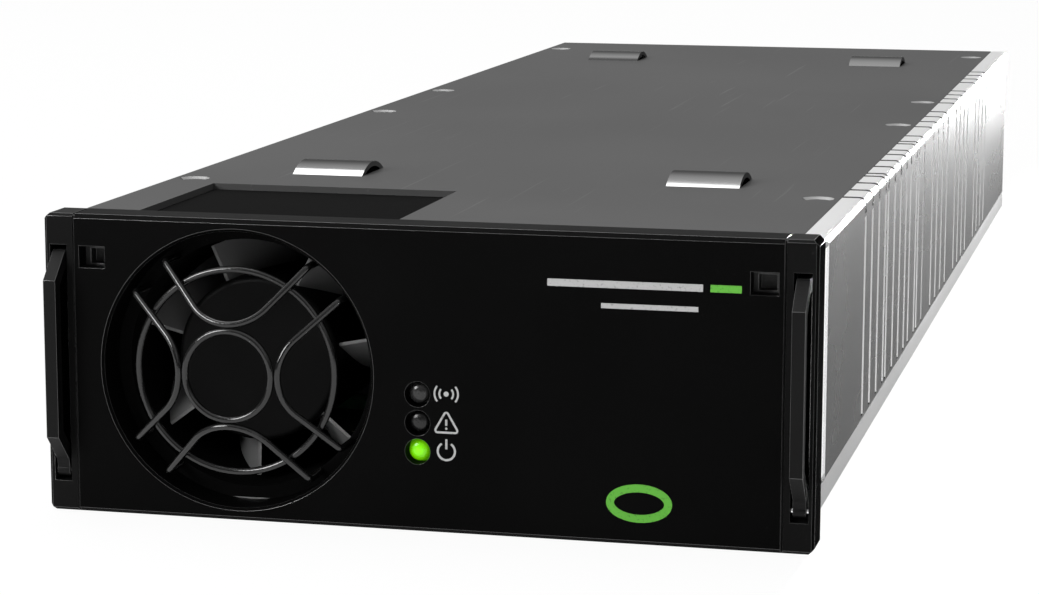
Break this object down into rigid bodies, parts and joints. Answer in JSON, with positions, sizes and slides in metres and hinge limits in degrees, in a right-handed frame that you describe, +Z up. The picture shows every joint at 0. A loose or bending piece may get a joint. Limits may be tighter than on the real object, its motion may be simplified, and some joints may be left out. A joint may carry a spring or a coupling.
{
  "type": "power supply module",
  "caption": "Long flat plug-in rectifier module with a guarded axial fan, status lamps and hinged handles in its front panel, and a blind-mate connector at the rear.",
  "frame": {"origin": "middle of the outer box at the level of the front panel's lower edge", "axes": "+X to the right as seen from the front, +Y from the front panel to the rear connector, +Z up"},
  "size_m": [0.109, 0.3309, 0.0429],
  "materials": {
    "black_plastic": "fine-grained matt black moulding",
    "handle_plastic": "matt black moulding",
    "latch_plastic": "matt grey moulding",
    "bulkhead_black": "matt black coated steel",
    "inner_steel": "dull zinc plating",
    "bare_steel": "smooth bare sheet steel",
    "dark_cover": "semi-gloss dark grey paint",
    "wire_steel": "dull nickel plated wire",
    "fan_black": "matt black moulding",
    "fan_grey": "matt dark grey moulding",
    "polished_steel": "bright zinc plating",
    "copper": "enamelled copper",
    "brass": "plated contact metal",
    "circuit_board": "green solder mask",
    "pale_plastic": "plain natural plastic",
    "lamp_green": "clear plastic lit green",
    "lamp_dark": "unlit smoky plastic",
    "lamp_grey": "unlit smoky plastic",
    "capacitor_sleeve": "shrunk sleeve",
    "yellow_plastic": "plain yellow plastic",
    "blue_plastic": "plain blue plastic",
    "ceramic": "glazed ceramic",
    "package_black": "moulded epoxy",
    "aluminium": "extruded aluminium",
    "ferrite": "sintered ferrite",
    "connector_plastic": "matt black moulding"
  },
  "bodies": {
    "module": {"front_panel": "black_plastic", "front_bulkhead": "bulkhead_black", "base_tray": "bare_steel", "right_side_wall": "bare_steel", "left_side_wall": "bare_steel", "top_cover": "dark_cover", "rear_panel": "inner_steel", "fan_guard": "wire_steel", "fan_frame": "fan_black", "fan_stator": "copper", "fan_bearings": "polished_steel", "air_duct": "fan_black", "fan_screws": "polished_steel", "panel_screws": "polished_steel", "left_hinge_pin": "polished_steel", "right_hinge_pin": "polished_steel", "indicator_board": "circuit_board", "board_spacers": "pale_plastic", "leds": "pale_plastic", "light_pipe_low": "lamp_green", "light_pipe_mid": "lamp_dark", "light_pipe_top": "lamp_grey", "insulating_sheet": "pale_plastic", "standoffs": "brass", "main_board": "circuit_board", "board_screws": "polished_steel", "bulk_capacitors": "capacitor_sleeve", "filter_chokes": "copper", "filter_capacitors": "yellow_plastic", "fuse": "ceramic", "relay": "blue_plastic", "boost_inductor": "copper", "power_transistors": "package_black", "heat_sink": "aluminium", "transformer_cores": "ferrite", "transformer_windings": "yellow_plastic", "resonant_inductor": "copper", "output_capacitors": "capacitor_sleeve", "output_busbars": "copper", "rear_connector": "connector_plastic", "power_contacts": "brass", "signal_contacts": "brass"},
    "fan_rotor": {"fan_impeller": "fan_grey", "fan_magnet": "ferrite", "fan_shaft": "polished_steel"},
    "left_handle": {"left_handle": "handle_plastic"},
    "right_handle": {"right_handle": "handle_plastic"},
    "left_latch": {"left_latch": "latch_plastic"},
    "right_latch": {"right_latch": "latch_plastic"}
  },
  "joints": [
    {"name": "fan_spin", "type": "hinge", "parent": "module", "child": "fan_rotor", "pos_m": [-0.0264, -0.15205, 0.0213], "axis": [0, 1, 0], "continuous": true},
    {"name": "left_handle_hinge", "type": "hinge", "parent": "module", "child": "left_handle", "pos_m": [-0.0524, -0.16025, 0.0058], "axis": [1, 0, 0], "range_deg": [0, 80]},
    {"name": "right_handle_hinge", "type": "hinge", "parent": "module", "child": "right_handle", "pos_m": [0.0524, -0.16025, 0.0058], "axis": [1, 0, 0], "range_deg": [0, 80]},
    {"name": "left_latch_slide", "type": "slide", "parent": "module", "child": "left_latch", "axis": [1, 0, 0], "range_m": [0, 0.0016], "stiffness_N_per_m": 300},
    {"name": "right_latch_slide", "type": "slide", "parent": "module", "child": "right_latch", "axis": [-1, 0, 0], "range_m": [0, 0.0016], "stiffness_N_per_m": 300}
  ]
}
